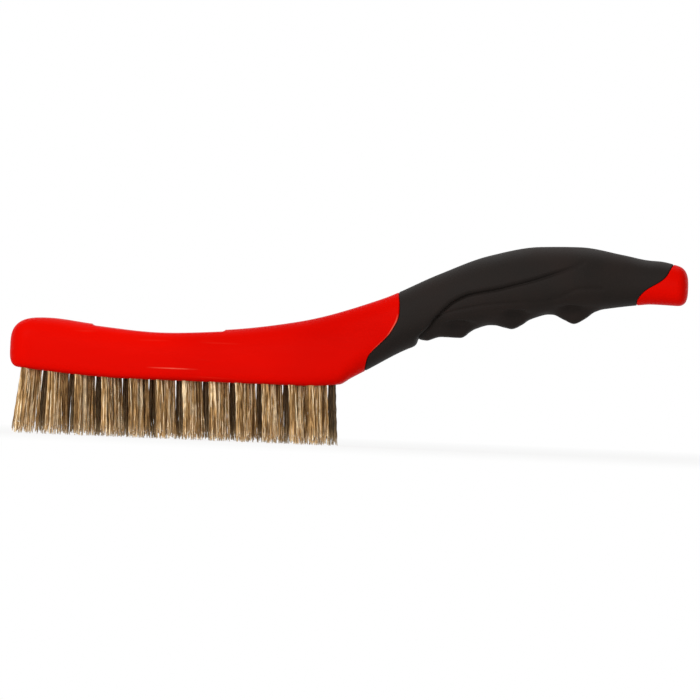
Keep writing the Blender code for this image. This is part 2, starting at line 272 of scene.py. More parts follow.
def face_height(x):
    """Height of the bristled face."""
    return bristle_trim + toe_rise * toe_curl(x)


def end_round(distance, reach):
    """Share of the full section at a distance from a rounded end."""
    t = np.clip(distance / reach, 0.0, 1.0)
    return (1 - (1 - t) ** end_fullness) ** (1 / end_fullness)


def envelope(x):
    """Bottom, top and half width of the outer form at a distance from the nose."""
    top = bristle_trim + smooth_line(TOP_LINE, x)
    bottom = face_height(x) + smooth_line(UNDERSIDE, x)
    middle = bottom + (top - bottom) * smooth_line(WIDEST_HEIGHTS, x)
    tip = end_round(overall_length - x, tip_reach)
    top = middle + (top - middle) * end_round(x, nose_top_reach) * tip
    bottom = middle - (middle - bottom) * end_round(x, nose_bottom_reach) * tip
    return bottom, top, smooth_line(HALF_WIDTHS, x) * end_round(x, nose_side_reach) * tip


def skin(x, turn, limits):
    """Points of a full oval ring, turned from -90 degrees underneath to 90 on top."""
    bottom, top, half_width = limits
    middle = bottom + (top - bottom) * smooth_line(WIDEST_HEIGHTS, x)
    across, up = np.cos(turn), np.sin(turn)
    fullness = np.where(up > 0, smooth_line(UPPER_FULLNESS, x), smooth_line(LOWER_FULLNESS, x))
    reach = (np.abs(across) ** fullness + np.abs(up) ** fullness) ** (-1 / fullness)
    rise = np.where(up > 0, top - middle, middle - bottom)
    return np.stack(
        np.broadcast_arrays(x, half_width * across * reach, middle + rise * up * reach), -1
    )


def graded(start, end, count, places):
    """Even steps drawn closer at each place: (where, how far about it, how much closer)."""
    at = np.linspace(start, end, 4001)
    density = 1 + sum(
        more * np.exp(-(((at - where) / reach) ** 2)) for where, reach, more in places
    )
    total = np.concatenate([[0.0], np.cumsum((density[1:] + density[:-1]) / 2)])
    return np.interp(np.linspace(0.0, total[-1], count + 1), total, at)


def both_sides(half):
    """Turns of half a ring, carried round its other side."""
    return np.concatenate([half, (math.pi - half[..., ::-1])[..., 1:-1]], axis=-1)


def softened(points, parts=12):
    """The points with a smooth curve run through them, each tangent along its two neighbours."""
    knots = np.array((points[0], *points, points[-1]))
    line = []
    for before, start, end, after in zip(knots, knots[1:], knots[2:], knots[3:]):
        t = np.linspace(0, 1, parts, endpoint=False)[:, None]
        line.extend(bend(start, end, (end - before) / 2, (after - start) / 2, t))
    return np.array([*line, knots[-1]])


def side_line(start, length, shares):
    """A smooth line seen from the side, through shares of a length and of body_rise."""
    return softened([
        (start + along * length, bristle_trim + rise * body_rise) for along, rise in shares
    ])


FRONT_SEAM = side_line(GRIP_START, front_seam_sweep, front_seam_shares)
REAR_SEAM = side_line(GRIP_END, rear_seam_sweep, rear_seam_shares)


def meeting(seam, search, height_at, steps=900):
    """Where each lengthwise line, between two distances from the nose, meets a seam."""
    along = np.linspace(*search, steps)
    past = along[:, None] - np.interp(height_at(along[:, None]), seam[:, 1], seam[:, 0])
    first = np.argmax(past > 0, axis=0)
    column = np.arange(past.shape[1])
    before, after = past[first - 1, column], past[first, column]
    return along[first - 1] + (along[first] - along[first - 1]) * before / (before - after)


def edge_rings(edge, inner, radius, depth, steps=5):
    """Rings that round an edge off and drop a wall from it; inner lies back on the skin."""
    along = np.roll(edge, -1, 0) - np.roll(edge, 1, 0)
    along /= np.linalg.norm(along, axis=1)[:, None]
    normal = np.cross(along, edge - inner)
    normal /= np.linalg.norm(normal, axis=1)[:, None]
    outwards = edge - edge.mean(0)
    normal *= np.sign((normal * outwards).sum(1)).mean()
    ahead = np.cross(normal, along)
    ahead *= np.sign((ahead * (edge - inner)).sum(1))[:, None]
    centre = edge - radius * (ahead + normal)
    bends = np.radians(np.linspace(0, 90, steps))
    rings = [centre + radius * (math.sin(b) * ahead + math.cos(b) * normal) for b in bends]
    return [*rings, centre + radius * ahead - depth * normal]


def core_ring(x, turn, wider=0.0):
    """The handle's core, half way between the top line and the underside, or a bore round it."""
    bottom, top, _ = envelope(x)
    across = (core_width / 2 + wider) * np.cos(turn)
    height = (bottom + top) / 2 + (core_height / 2 + wider) * np.sin(turn)
    return np.stack(np.broadcast_arrays(x, across, height), -1)


def skin_heights(turns):
    """For meeting: how high lines of the outer skin run."""
    return lambda x: skin(x, turns[None, :], envelope(x))[..., 2]


def core_heights(turns, wider=0.0):
    """For meeting: how high lines of the core, or of a bore round it, run."""
    return lambda x: core_ring(x, turns[None, :], wider)[..., 2]


def ring_mesh(name, rings, poles=(), closed=False, glint_rings=()):
    """A skin through rings, drawn on to its poles, or closed on itself as a sleeve is.

    Rings given in the last argument carry the value 1 of the attribute that marks a painted
    highlight.
    """
    points = np.array(rings)
    points[..., 0] -= overall_length / 2
    count, around = points.shape[:2]
    index = np.arange(count * around).reshape(count, around)
    near = index if closed else index[:-1]
    far = np.roll(index, -1, 0) if closed else index[1:]
    quads = np.stack([near, far, np.roll(far, -1, 1), np.roll(near, -1, 1)], -1).reshape(-1, 4)
    faces = quads.tolist()
    vertices = points.reshape(-1, 3).tolist()
    for ring, pole in zip((index[0], index[-1]), poles):
        vertices.append((pole[0] - overall_length / 2, pole[1], pole[2]))
        faces += [(int(a), int(b), len(vertices) - 1) for a, b in zip(ring, np.roll(ring, -1))]
    mesh = bpy.data.meshes.new(name)
    mesh.from_pydata(vertices, [], faces)
    if glint_rings:
        painted_highlight = np.zeros(len(vertices))
        painted_highlight[index[list(glint_rings)]] = 1.0
        mesh.attributes.new("painted_seam_glint", "FLOAT", "POINT").data.foreach_set("value", painted_highlight)
    bm = bmesh.new()
    bm.from_mesh(mesh)
    bmesh.ops.recalc_face_normals(bm, faces=bm.faces)
    bm.to_mesh(mesh)
    bm.free()
    mesh.shade_smooth()
    made = bpy.data.objects.new(name, mesh)
    scene.collection.objects.link(made)
    return made


# The shallow bare panel sunk into the crown of the head
panel_start = 0.035
panel_length = 0.0571
panel_width = 0.0175
panel_depth = 0.00065
panel_corner = 0.0035
panel_draft = 0.0005


def panel_sink(points):
    """How far the panel lowers points of the crown."""
    middle = panel_start + panel_length / 2
    past_x = np.abs(points[..., 0] - middle) - panel_length / 2 + panel_corner
    past_y = np.abs(points[..., 1]) - panel_width / 2 + panel_corner
    corner = np.hypot(np.maximum(past_x, 0), np.maximum(past_y, 0))
    outside = corner + np.minimum(np.maximum(past_x, past_y), 0) - panel_corner
    return panel_depth * eased(np.clip(0.5 - outside / panel_draft, 0, 1))


body_edge = 0.0005
body_wall = 0.0014
# Rings of the front seam's edge that carry a painted highlight
seam_glint_rings = 3
lines_on_half = 74
# Where on the half ring lines lie closer, in degrees, how far about it and how much closer
line_places = ((-45, 11, 2.2), (55.4, 4.5, 4.0), (55, 14, 0.8))
# How far about each end of the panel rings lie closer, and how much closer
step_closeness = ((0.0012, 4.0), (0.005, 0.8))
nose_ring_count = 22
head_ring_count = 190
neck_ring_count = 27
core_ring_count = 16
tip_ring_count = 44
tip_closeness = 2.2
straight_end = 0.14
# Distances from the nose between which the outer skin, and the core, meet each seam
front_search = (0.145, 0.175)
rear_search = (0.262, 0.2895)
core_front_search = (0.140, 0.180)
core_rear_search = (0.255, 0.2895)

body_turns = both_sides(np.radians(graded(-90, 90, lines_on_half, line_places)))
front_meets = meeting(FRONT_SEAM, front_search, skin_heights(body_turns))
rear_meets = meeting(REAR_SEAM, rear_search, skin_heights(body_turns))
nose_bends = np.radians(np.linspace(0, 90, nose_ring_count)[1:])
nose_rings = nose_side_reach * (1 - np.cos(nose_bends) ** (2 / end_fullness))
panel_ends = (panel_start, panel_start + panel_length)
head_rings = graded(
    nose_side_reach, straight_end, head_ring_count,
    [(end, reach, more) for reach, more in step_closeness for end in panel_ends],
)[1:]
crown = np.sin(body_turns) > 0
head_skin = []
for x in [*nose_rings, *head_rings]:
    ring = skin(np.array(x), body_turns, envelope(np.array(x)))
    ring[crown, 2] -= panel_sink(ring[crown])
    head_skin.append(ring)
neck_steps = np.linspace(0, 1, neck_ring_count)[1:]
neck_ends = front_meets - 2 * body_edge
neck_skin = [
    skin(x, body_turns, envelope(x))
    for x in (straight_end + (neck_ends - straight_end) * step for step in neck_steps)
]
front_edge = skin(front_meets, body_turns, envelope(front_meets))
front_lip = edge_rings(front_edge, neck_skin[-1], body_edge, body_wall)
core_front = meeting(FRONT_SEAM, core_front_search, core_heights(body_turns))
core_rear = meeting(REAR_SEAM, core_rear_search, core_heights(body_turns))
core_skin = [
    core_ring(core_front + (core_rear - core_front) * step, body_turns)
    for step in np.linspace(0, 1, core_ring_count)
]
tip_starts = rear_meets + 2 * body_edge
tip_steps = np.linspace(1, 0, tip_ring_count)[:-1] ** tip_closeness
tip_skin = [
    skin(x, body_turns, envelope(x))
    for x in (overall_length - (overall_length - tip_starts) * step for step in tip_steps)
]
rear_edge = skin(rear_meets, body_turns, envelope(rear_meets))
rear_lip = edge_rings(rear_edge, tip_skin[0], body_edge, body_wall)
nose_low, nose_high, _ = envelope(np.array(0.0))
tip_low, tip_high, _ = envelope(np.array(overall_length))
before_lip = len(head_skin) + len(neck_skin)
body = ring_mesh(
    "brush_body_moulding",
    [*head_skin, *neck_skin, *front_lip, *core_skin, *reversed(rear_lip), *tip_skin],
    # The first rings of the front lip carry the painted highlight of the seam's edge
    glint_rings=range(before_lip, before_lip + seam_glint_rings),
    poles=((0.0, 0.0, (nose_low + nose_high) / 2), (overall_length, 0.0, (tip_low + tip_high) / 2)),
)

# Tuft holes: drilled blind into the bristled face, in twelve columns of four staggered rows. They
# lean as the wires do, and fan out where the face curls up to the nose.
toe_fan = math.radians(8.5)
drill_lean = math.radians(2.3)
tuft_columns = 12
tuft_rows = 4
first_column = 0.007
heel_margin = 0.012
heel_column_pitch = 0.008
column_pitch = (head_length - first_column - heel_margin - heel_column_pitch) / (tuft_columns - 2)
row_margin = 0.0048
row_pitch = (head_width - 2 * row_margin) / (tuft_rows - 1)
row_stagger_shares = (0.0, 0.235, 0.452, 0.733)
tuft_hole_diameter = 0.0035
tuft_hole_depth = 0.011
hole_overrun = 0.002
hole_sides = 24
sharp_angle = math.radians(50)

tuft_places = []
for column in range(tuft_columns):
    start = first_column + column_pitch * column
    if column == tuft_columns - 1:
        start += heel_column_pitch - column_pitch
    for row in range(tuft_rows):
        x = start + row_stagger_shares[row] * column_pitch
        mouth = Vector((
            x - overall_length / 2, (row - (tuft_rows - 1) / 2) * row_pitch, float(face_height(x))
        ))
        lean = float(drill_lean - toe_fan * toe_curl(x))
        tuft_places.append((f"{column + 1:02d}_{row + 1}", mouth, lean))

drills = bmesh.new()
for _, mouth, lean in tuft_places:
    bmesh.ops.create_cone(
        drills, cap_ends=True, segments=hole_sides, radius1=tuft_hole_diameter / 2,
        radius2=tuft_hole_diameter / 2, depth=tuft_hole_depth + hole_overrun,
        matrix=Matrix.Translation(mouth) @ Matrix.Rotation(-lean, 4, "Y")
        @ Matrix.Translation((0, 0, (tuft_hole_depth - hole_overrun) / 2)),
    )
drill_mesh = bpy.data.meshes.new("drills")
drills.to_mesh(drill_mesh)
drills.free()
drill = bpy.data.objects.new("drills", drill_mesh)
scene.collection.objects.link(drill)
drilling = body.modifiers.new("drilling", "BOOLEAN")
drilling.operation = "DIFFERENCE"
drilling.solver = "EXACT"
drilling.object = drill
graph = bpy.context.evaluated_depsgraph_get()
drilled = bpy.data.meshes.new_from_object(body.evaluated_get(graph))
body.modifiers.remove(drilling)
body.data = drilled
bpy.data.objects.remove(drill)
body.data.shade_smooth()
body.data.set_sharp_from_angle(angle=sharp_angle)

# Red plastic: faint clouds, fine scuffs and scratches along the moulding, a painted highlight line
# low on the near side of the head, and a painted highlight along the edge at the front seam about
# its middle.
red_deep = (0.635, 0.0020, 0.0001, 1.0)
red_bright = (0.790, 0.0030, 0.0001, 1.0)
# Pale red of the scratches and of the painted highlights
red_scratch_and_painted_highlight = (0.900, 0.160, 0.100, 1.0)
red_gloss = 0.01
# Painted highlight line low on the near side: its height, how far from it it is full and gone, its
# middle and its length
highlight_line_height = 0.0304
highlight_line_full, highlight_line_gone = 0.00008, 0.00034
highlight_line_middle = -0.074
highlight_line_length = 0.023
near_side = (-0.004, -0.002)
# Painted highlight along the front seam's edge: its height, and how far from it it is full and gone
seam_glint_height = 0.049
seam_glint_full, seam_glint_gone = 0.0055, 0.0090
# Noises: how fine, how detailed, and a factor for each axis, small where they are drawn out
red_clouds = (26.0, 3.0, (0.35, 1.0, 1.0))
red_scuffs = (900.0, 3.0, (0.08, 1.0, 1.0))
red_scratches = (420.0, 2.0, (0.03, 0.5, 1.0))
scratched_places = (38.0, 1.0)
highlight_line_breaks = (260.0, 2.0, (0.35, 1.0, 1.0))
seam_glint_breaks = (90.0, 2.0)
red_grain = (1500.0, 2.0)
# How deep the grain is, and how strongly it shows
red_relief = (0.00004, 0.25)


def new_surface(name):
    """A new material with its tree, its shader and the object's coordinates."""
    made = bpy.data.materials.new(name)
    made.use_nodes = True
    tree = made.node_tree
    where = grow(tree, "ShaderNodeTexCoord").outputs["Object"]
    return made, tree, tree.nodes["Principled BSDF"], where


def noise(tree, vector, scale, detail=2.0, stretch=None):
    """Noise on object coordinates, drawn out along an axis where a stretch is given."""
    if stretch:
        drawn_out = {"Vector": vector, "Scale": stretch}
        vector = grow(tree, "ShaderNodeMapping", None, drawn_out).outputs[0]
    return grow(
        tree, "ShaderNodeTexNoise", None, {"Vector": vector, "Scale": scale, "Detail": detail}
    ).outputs["Fac"]


def carried(tree, name):
    """A value that the mesh carries under a name."""
    return grow(tree, "ShaderNodeAttribute", {"attribute_name": name}).outputs["Fac"]


def product(tree, *values):
    """All the values multiplied together."""
    result = values[0]
    for value in values[1:]:
        result = maths(tree, "MULTIPLY", result, value)
    return result


def close_to(tree, value, middle, full, gone):
    """1 within a distance of a place, falling to 0 further off."""
    away = maths(tree, "ABSOLUTE", maths(tree, "SUBTRACT", value, middle))
    return ranged(tree, away, full, gone, 1.0, 0.0)


def blended(tree, share, first, second):
    """The first colour turning into the second as the share rises."""
    mix = grow(tree, "ShaderNodeMix", {"data_type": "RGBA"})
    tree.links.new(share, mix.inputs[0])
    for socket, colour in ((6, first), (7, second)):
        if isinstance(colour, bpy.types.NodeSocket):
            tree.links.new(colour, mix.inputs[socket])
        else:
            mix.inputs[socket].default_value = colour
    return mix.outputs[2]


def bumped(tree, shader, height, distance, strength):
    """Tilts a shader's surface by a height."""
    bump = grow(
        tree, "ShaderNodeBump", None,
        {"Height": height, "Distance": distance, "Strength": strength},
    )
    tree.links.new(bump.outputs["Normal"], shader.inputs["Normal"])


red_plastic, tree, shader, where = new_surface("red_plastic")
clouds = noise(tree, where, *red_clouds)
scuffs = noise(tree, where, *red_scuffs)
colour = blended(tree, ranged(tree, clouds, 0.30, 0.70, 0.0, 1.0), red_deep, red_bright)
scratched = product(
    tree, ranged(tree, noise(tree, where, *red_scratches), 0.66, 0.76, 0.0, 0.09),
    ranged(tree, noise(tree, where, *scratched_places), 0.50, 0.62, 0.0, 1.0),
)
colour = blended(tree, scratched, colour, red_scratch_and_painted_highlight)
along_brush, across_brush, height = grow(tree, "ShaderNodeSeparateXYZ", None, {0: where}).outputs
# Painted highlight: a pale line low on the near side of the head only
painted_highlight = product(
    tree, close_to(tree, height, highlight_line_height, highlight_line_full, highlight_line_gone),
    close_to(tree, along_brush, highlight_line_middle, 0.0, highlight_line_length / 2),
    ranged(tree, across_brush, *near_side, 1.0, 0.0),
    ranged(tree, noise(tree, where, *highlight_line_breaks), 0.38, 0.58, 0.15, 0.62),
)
colour = blended(tree, painted_highlight, colour, red_scratch_and_painted_highlight)
# Painted highlight on the front seam's rounded edge, about its middle, broken by noise
seam_glint = product(
    tree, carried(tree, "painted_seam_glint"),
    close_to(tree, height, seam_glint_height, seam_glint_full, seam_glint_gone),
    ranged(tree, noise(tree, where, *seam_glint_breaks), 0.40, 0.60, 0.15, 0.70),
)
colour = blended(tree, seam_glint, colour, red_scratch_and_painted_highlight)
tree.links.new(colour, shader.inputs["Base Color"])
tree.links.new(ranged(tree, scuffs, 0.35, 0.75, 0.34, 0.46), shader.inputs["Roughness"])
bumped(tree, shader, noise(tree, where, *red_grain), *red_relief)
shader.inputs["Specular IOR Level"].default_value = red_gloss
body.data.materials.clear()
body.data.materials.append(red_plastic)
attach(body, "root")
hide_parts("brush_body")

# Grip: black soft rubber moulded over the core. A thumb shell wraps its front and top; under the
# crease the finger panel lies lower, and a narrow ridge of finger swells runs along beneath it.
crease_step_front = 0.0022
crease_step_rear = 0.0005
crease_fade_power = 1.3
groove_fade_power = 0.6
crease_full_share = 0.22
crease_thin_share = 0.7
crease_gone_share = 0.81
crease_wall = 0.0011
crease_groove = 0.00085
crease_groove_width = 0.00095
groove_thin_share = 0.7
groove_gone_share = 0.815
band_groove = 0.00042
band_groove_width = 0.0007
cheek_depth = 0.002
cheek_reach = 0.0048
cheek_overhang = 0.0009
cheek_slope = 0.0024
finger_depth = 0.0048
# Depth of hollow at which the painted shade is full
full_hollow_shade_depth = 0.0011
grip_edge = 0.0004
grip_wall = 0.0013
bore_gap = 0.0002
seam_gap = 0.0002
crease_shares = (
    (0.190, 0.20), (0.196, 0.32), (0.213, 0.366), (0.234, 0.405), (0.255, 0.467), (0.273, 0.508),
    (0.304, 0.565), (0.327, 0.602), (0.376, 0.65), (0.426, 0.673), (0.496, 0.70), (0.544, 0.725),
    (0.623, 0.767), (0.699, 0.818), (0.783, 0.875), (0.848, 0.925), (0.91, 0.977), (0.955, 1.05),
)
# Finger swells: shares of grip_length and of finger_depth, below zero in the grooves between them.
# The ridge is full over its middle, and gone at these shares of the half width.
finger_shares = (
    (0.19, 0.0), (0.205, 0.05), (0.234, 0.28), (0.27, 0.19), (0.305, 0.35), (0.339, 0.55),
    (0.359, 0.63), (0.372, 0.53), (0.385, 0.31), (0.407, 0.08), (0.451, -0.06), (0.482, 0.07),
    (0.517, 0.43), (0.549, 0.69), (0.583, 0.45), (0.606, 0.15), (0.634, 0.0), (0.669, -0.10),
    (0.696, 0.0), (0.739, 0.59), (0.777, 1.03), (0.818, 0.65), (0.852, 0.17), (0.885, 0.02),
    (1.0, 0.0),
)
ridge_full_share = 0.3
ridge_gone_share = 0.62
# Dimples in the cheeks of the three swells: shares of grip_length and body_rise
cheek_starts_share = 0.25
cheek_full_share = 0.6
cheek_shares = ((0.350, 0.440), (0.555, 0.535), (0.772, 0.585))
# The lower edge of the band that runs along above the swells: shares of grip_length and body_rise
band_shares = (
    (0.270, 0.490), (0.332, 0.530), (0.447, 0.580), (0.592, 0.610), (0.655, 0.622), (0.720, 0.655),
    (0.790, 0.718), (0.880, 0.728),
)

FINGERS = np.array(finger_shares) * (grip_length, finger_depth) + (GRIP_START, 0.0)
CREASE = side_line(GRIP_START, grip_length, crease_shares)
BAND = side_line(GRIP_START, grip_length, band_shares)


def share_left(at, start, end):
    """1 up to the start, falling evenly to 0 at the end."""
    return 1 - np.clip((at - start) / (end - start), 0.0, 1.0)


def crease_step(x):
    """Depth of the finger panel under the thumb shell."""
    along = (x - GRIP_START) / grip_length
    full = share_left(along, crease_full_share, crease_thin_share) ** crease_fade_power
    step = crease_step_rear + (crease_step_front - crease_step_rear) * full
    return step * share_left(along, crease_thin_share, crease_gone_share)


def line_distance(points, line):
    """Distance from a line as seen from the side, below zero above it and in front of its start."""
    flat = points[..., (0, 2)].reshape(-1, 1, 2)
    starts, ends = line[:-1], line[1:]
    along = ends - starts
    t = np.clip(((flat - starts) * along).sum(-1) / (along**2).sum(-1), 0, 1)
    gaps = flat - starts - t[..., None] * along
    nearest = np.sqrt((gaps**2).sum(-1).min(-1)).reshape(points.shape[:-1])
    height = np.interp(points[..., 0], line[:, 0], line[:, 1], left=-1.0)
    return np.where(points[..., 2] < height, nearest, -nearest)


def hollow_depth(points):
    """Depth of the crease's groove, the band's edge line and the cheek dimples at points."""
    x = points[..., 0]
    along = (x - GRIP_START) / grip_length
    fade = share_left(along, groove_thin_share, groove_gone_share) ** groove_fade_power
    away = line_distance(points, CREASE) / crease_groove_width
    depth = crease_groove * fade * np.exp(-(away**2))
    away = line_distance(points, BAND) / band_groove_width
    depth = depth + band_groove * np.exp(-(away**2))
    beside = 1 - share_left(
        np.abs(points[..., 1]) / envelope(x)[2], cheek_starts_share, cheek_full_share
    )
    for along_share, rise_share in cheek_shares:
        ahead = (x - GRIP_START - along_share * grip_length) / cheek_reach
        above = points[..., 2] - bristle_trim - rise_share * body_rise
        above = above / np.where(above > 0, cheek_overhang, cheek_slope)
        depth = depth + cheek_depth * beside * np.exp(-(ahead**2) - above**2)
    return depth


def grip_skin(x, turn):
    """The thumb shell where a point lies on it, the sunk finger panel below the crease."""
    bottom, top, half_width = envelope(x)
    shell = skin(x, turn, (bottom, top, half_width))
    step = crease_step(x)
    panel = skin(x, turn, (bottom + step, top - step, half_width - step))
    outwards = np.abs(panel[..., 1]) / half_width
    ridge = share_left(outwards, ridge_full_share, ridge_gone_share)
    ridge = np.where(np.sin(turn) < 0, eased(ridge), 0.0)
    panel[..., 2] -= smooth_line(FINGERS, x) * ridge
    share = np.clip(line_distance(shell, CREASE) / crease_wall + 0.5, 0, 1)
    share = eased(share)[..., None]
    skin_here = shell * (1 - share) + panel * share
    depth = hollow_depth(shell)
    middle = (bottom + top) / 2
    inwards = np.stack([np.zeros_like(depth), -shell[..., 1], middle - shell[..., 2]], -1)
    inwards /= np.linalg.norm(inwards, axis=-1, keepdims=True)
    return skin_here + depth[..., None] * inwards


lines_below, lines_above = 42, 56
line_power = 1.6
least_turn, most_turn = math.radians(-62), math.radians(62)
turns_searched = 721


def grip_turns(x):
    """Turns of the lines of a ring, which keep beside the crease and lie closest there."""
    x = np.atleast_1d(x)
    turns = np.linspace(-math.pi / 2, math.pi / 2, turns_searched)
    heights = skin(x[:, None], turns[None, :], [limit[:, None] for limit in envelope(x)])[..., 2]
    crease_height = np.interp(x, CREASE[:, 0], CREASE[:, 1], left=-1.0)
    middle = np.array([np.interp(h, row, turns) for h, row in zip(crease_height, heights)])
    middle = np.clip(middle, least_turn, most_turn)[:, None]
    below = (np.linspace(1, 0, lines_below + 1)) ** line_power
    above = (np.linspace(0, 1, lines_above + 1)[1:]) ** line_power
    half = np.concatenate(
        [middle - (middle + math.pi / 2) * below, middle + (math.pi / 2 - middle) * above], axis=1
    )
    return both_sides(half)


# Between these the rings stand upright; beyond them they turn into the lines of the seams
grip_front = 0.17
grip_rear = 0.266
grip_ring_count = 230
grip_end_ring_count = 26
# Behind the crease's front end: where the rings lie closer, how far about it and how much closer
crease_closeness = ((0.0006, 0.0015, 5.0), (0.004, 0.005, 1.0))

front_turns = grip_turns(grip_front)[0]
rear_turns = grip_turns(grip_rear)[0]
shift = np.array((seam_gap, 0.0))
grip_front_meets = meeting(FRONT_SEAM + shift, front_search, skin_heights(front_turns))
grip_rear_meets = meeting(REAR_SEAM - shift, rear_search, skin_heights(rear_turns))
crease_nose = GRIP_START + crease_shares[0][0] * grip_length
grip_middle = graded(
    grip_front, grip_rear, grip_ring_count,
    [(crease_nose + behind, reach, more) for behind, reach, more in crease_closeness],
)
end_steps = np.linspace(0, 1, grip_end_ring_count)
front_starts = grip_front_meets + 2 * grip_edge
front_skin = [
    grip_skin(x, front_turns)
    for x in (front_starts + (grip_front - front_starts) * step for step in end_steps[:-1])
]
middle_skin = [
    grip_skin(np.full(len(front_turns), x), grip_turns(np.array(x))[0]) for x in grip_middle
]
rear_ends = grip_rear_meets - 2 * grip_edge
rear_skin = [
    grip_skin(x, rear_turns)
    for x in (grip_rear + (rear_ends - grip_rear) * step for step in end_steps[1:])
]
grip_front_lip = edge_rings(
    grip_skin(grip_front_meets, front_turns), front_skin[0], grip_edge, grip_wall
)
grip_rear_lip = edge_rings(
    grip_skin(grip_rear_meets, rear_turns), rear_skin[-1], grip_edge, grip_wall
)
bore_front = meeting(
    FRONT_SEAM + shift, core_front_search, core_heights(front_turns, bore_gap)
)
bore_rear = meeting(REAR_SEAM - shift, core_rear_search, core_heights(rear_turns, bore_gap))
bore_skin = [
    core_ring(
        bore_rear + (bore_front - bore_rear) * step,
        rear_turns + (front_turns - rear_turns) * step, bore_gap,
    )
    for step in np.linspace(0, 1, core_ring_count)
]
grip = ring_mesh(
    "grip_overmould",
    [*reversed(grip_front_lip), *front_skin, *middle_skin, *rear_skin, *grip_rear_lip, *bore_skin],
    closed=True,
)

grip_points = np.array([vertex.co for vertex in grip.data.vertices])
grip_points[:, 0] += overall_length / 2
# Painted shade: the deeper the hollow, the darker the rubber's colour there
hollow_shade_share = np.clip(hollow_depth(grip_points) / full_hollow_shade_depth, 0.0, 1.0)
grip.data.attributes.new("painted_hollow_shade", "FLOAT", "POINT").data.foreach_set("value", hollow_shade_share)

# Black rubber: matt, faintly clouded and grained, with painted shade darkening the grooves and
# dimples
rubber_in_painted_shade = (0.0022, 0.0016, 0.0014, 1.0)
rubber_deep = (0.0098, 0.0072, 0.0058, 1.0)
rubber_pale = (0.0162, 0.0110, 0.0090, 1.0)
rubber_gloss = 0.11
rubber_clouds = (60.0, 4.0)
rubber_grain = (2600.0, 2.0)
rubber_relief = (0.00006, 0.45)
black_rubber, tree, shader, where = new_surface("black_rubber")
clouds = noise(tree, where, *rubber_clouds)
colour = blended(tree, ranged(tree, clouds, 0.30, 0.70, 0.0, 1.0), rubber_deep, rubber_pale)
painted_hollow_shade = ranged(tree, carried(tree, "painted_hollow_shade"), 0.10, 0.90, 0.0, 0.34)
colour = blended(tree, painted_hollow_shade, colour, rubber_in_painted_shade)
tree.links.new(colour, shader.inputs["Base Color"])
tree.links.new(ranged(tree, clouds, 0.30, 0.70, 0.58, 0.70), shader.inputs["Roughness"])
bumped(tree, shader, noise(tree, where, *rubber_grain), *rubber_relief)
shader.inputs["Specular IOR Level"].default_value = rubber_gloss
grip.data.materials.append(black_rubber)
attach(grip, "root")
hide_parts("grip_sleeve")

# Wires: brass-coated spring steel, faintly crimped, seated in each hole and trimmed to a ragged end
# that stands on the floor. One tree makes a tuft from its own mouth, lean, spread, looks and seed.
wires_in_tuft = 38
wire_diameter = 0.00042
bundle_diameter = 0.0035
root_depth = 0.0104
# One value for each row, from the near side to the far one; a set combs a tuft to the handle
row_splays = (0.00040, 0.00080, 0.00100, 0.00070)
row_sets = (0.00100, 0.00010, -0.00005, -0.00005)
# Painted shade: how far each row's wires are darkened, the far row most
row_painted_shade = (0.0, 0.0, 0.0, 0.80)
# Painted light and shade: each row's wires made paler or darker by how light falls on the row
row_painted_light = (-0.08, 0.38, -0.12, 0.0)
# The first two tufts spread more and less to the handle; the last tuft is painted dark all over, as
# shade
toe_tufts = 2
toe_splay = 0.0006
toe_set = -0.001
heel_painted_shade = 1.0
stray_at_trim = 0.00075
loose_bend = (-0.0021, -0.0012, 0.0)
crimp_depth = 0.00009
crimp_length = 0.0064
crimp_quickness = (4.8, 7.4)
crimp_onset_rate = 8.0
trim_ragged = 0.0042
toe_ragged = 0.0014
trim_floor = 0.00003
seat_jitter = 0.35
turn_by_seed = 1.7
seed_step = 11
stray_power = 1.5
bend_power = 1.7
ragged_power = 1.2
points_along = 26
sides_round = 6
golden_turn = math.pi * (3 - math.sqrt(5))

tuft_tree = bpy.data.node_groups.new("wire_tuft", "GeometryNodeTree")
tuft_inputs = (
    # name, kind of socket, value where a tuft has none of its own
    ("Wires", "Int", wires_in_tuft),
    ("Wire Diameter", "Float", wire_diameter),
    ("Bundle Diameter", "Float", bundle_diameter),
    ("Root Depth", "Float", root_depth),
    ("Mouth", "Vector", (0.0, 0.0, bristle_trim)),
    ("Lean", "Float", 0.0),
    ("Splay", "Float", 0.0),
    ("Set", "Float", 0.0),
    # Painted shade of all the tuft's wires
    ("Painted Shade", "Float", 0.0),
    # Painted light and shade added to each wire's tone
    ("Painted Light", "Float", 0.0),
    ("Loose Bend", "Vector", (0.0, 0.0, 0.0)),
    ("Stray", "Float", stray_at_trim),
    ("Crimp Depth", "Float", crimp_depth),
    ("Crimp Length", "Float", crimp_length),
    ("Ragged", "Float", trim_ragged),
    ("Seed", "Int", 0),
    ("Material", "Material", None),
)
sockets_of = {}
for input_name, kind, value in tuft_inputs:
    socket = tuft_tree.interface.new_socket(
        input_name, in_out="INPUT", socket_type=f"NodeSocket{kind}"
    )
    if value is not None:
        socket.default_value = value
    sockets_of[input_name] = socket.identifier
tuft_tree.interface.new_socket("Geometry", in_out="OUTPUT", socket_type="NodeSocketGeometry")
given = tuft_tree.nodes.new("NodeGroupInput").outputs


def reckon(operation, *values):
    """The result of a Math node of the tuft's tree."""
    return maths(tuft_tree, operation, *values)


def chance(salt, low=0.0, high=1.0):
    """A random number for each wire; each salt gives another."""
    return grow(
        tuft_tree, "FunctionNodeRandomValue", {"data_type": "FLOAT"},
        {"ID": wire_number, "Seed": reckon("ADD", given["Seed"], salt), 2: low, 3: high},
    ).outputs[1]


